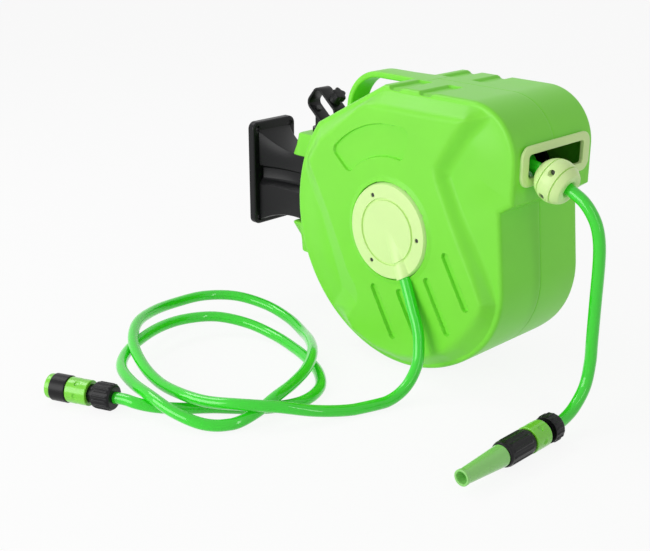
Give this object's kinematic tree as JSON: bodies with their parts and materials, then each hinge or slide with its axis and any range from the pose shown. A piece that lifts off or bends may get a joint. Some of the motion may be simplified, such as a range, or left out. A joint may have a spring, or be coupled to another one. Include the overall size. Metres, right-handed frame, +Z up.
{
  "type": "wall mounted hose reel",
  "caption": "Garden hose reel with a spring rewind drum in a green two-part case that swings on a black wall bracket, with inlet hose, outlet hose and twist nozzle.",
  "frame": {"origin": "centre of the wall plate's back face, in the middle of its four screw holes", "axes": "+Y into the wall, +Z up, -X towards the side with the inlet hose"},
  "size_m": [0.5511, 0.5935, 0.356],
  "materials": {
    "case_green": "satin",
    "pale_lime": "satin",
    "hose_green": "gloss",
    "fitting_green": "gloss",
    "black": "satin",
    "steel": "plain",
    "seal": "matte"
  },
  "bodies": {
    "wall_bracket": {"wall_bracket": "black"},
    "case": {"left_shell": "case_green", "right_shell": "case_green", "case_screws": "steel", "outlet_bezel": "pale_lime", "inlet_cover": "pale_lime", "inlet_cover_screws": "steel", "left_bush": "black", "inlet_elbow": "black", "union_seal": "seal", "spring_arbor": "steel", "pawl_pin": "steel", "hose_lead": "hose_green", "hose_stop_left": "pale_lime", "hose_stop_right": "pale_lime", "hose_stop_screws": "steel", "outlet_hose": "hose_green", "outlet_hose_nut": "black", "outlet_connector": "black", "nozzle_stem": "black", "inlet_hose": "hose_green", "inlet_hose_nut": "black", "inlet_connector": "black", "tap_adaptor": "black", "tap_seal": "fitting_green"},
    "drum": {"drum_barrel": "black", "drum_left_flange": "black", "drum_right_flange": "black", "flange_screws": "steel", "right_bush": "steel", "water_shaft": "black", "hose_start_pipe": "steel", "spring_housing": "black", "spring_cover": "black", "power_spring": "steel", "hose_core": "hose_green", "hose_winding": "hose_green", "ratchet_ring": "black"},
    "pivot_pin": {"pivot_pin": "black", "pull_ring": "black", "ring_screw": "steel"},
    "pawl": {"pawl": "steel"},
    "lock_knob": {"lock_knob": "black"},
    "outlet_sleeve": {"outlet_release_sleeve": "fitting_green"},
    "inlet_sleeve": {"inlet_release_sleeve": "fitting_green"},
    "nozzle_grip": {"nozzle_grip": "black"},
    "nozzle_tip": {"nozzle_tip": "fitting_green"}
  },
  "joints": [
    {"name": "swing", "type": "hinge", "parent": "wall_bracket", "child": "case", "pos_m": [0, -0.112, 0], "axis": [0, 0, 1], "range_deg": [-85, 85]},
    {"name": "pin_lift", "type": "slide", "parent": "case", "child": "pivot_pin", "axis": [0, 0, 1], "range_m": [0, 0.18]},
    {"name": "knob_turn", "type": "hinge", "parent": "pivot_pin", "child": "lock_knob", "pos_m": [0, -0.1334, 0.11957], "axis": [0, -0.6428, 0.766], "range_deg": [0, 720]},
    {"name": "drum_turn", "type": "hinge", "parent": "case", "child": "drum", "pos_m": [0, -0.322, 0], "axis": [1, 0, 0], "range_deg": [0, 7200], "stiffness_Nm_per_rad": 0.03, "springref_deg": -1145.92, "deforming": ["power_spring", "hose_lead"]},
    {"name": "pawl_drop", "type": "hinge", "parent": "case", "child": "pawl", "pos_m": [-0.062, -0.322, 0.098], "axis": [-1, 0, 0], "range_deg": [0, 13], "stiffness_Nm_per_rad": 0.05, "springref_deg": -11.46},
    {"name": "outlet_release", "type": "slide", "parent": "case", "child": "outlet_sleeve", "axis": [1, 0, 0], "range_m": [0, 0.005], "stiffness_N_per_m": 800, "springref_m": -0.002},
    {"name": "inlet_release", "type": "slide", "parent": "case", "child": "inlet_sleeve", "axis": [0.4067, -0.9135, 0], "range_m": [0, 0.005], "stiffness_N_per_m": 800, "springref_m": -0.002},
    {"name": "nozzle_twist", "type": "hinge", "parent": "case", "child": "nozzle_grip", "pos_m": [-0.15, -0.577, -0.167], "axis": [-1, 0, 0], "range_deg": [0, 180]},
    {"name": "nozzle_advance", "type": "slide", "parent": "nozzle_grip", "child": "nozzle_tip", "axis": [-1, 0, 0], "range_m": [0, 0.006]}
  ],
  "couplings": [
    {"joint": "nozzle_advance", "follows": "nozzle_twist", "m_per_rad": 0.0019099}
  ]
}
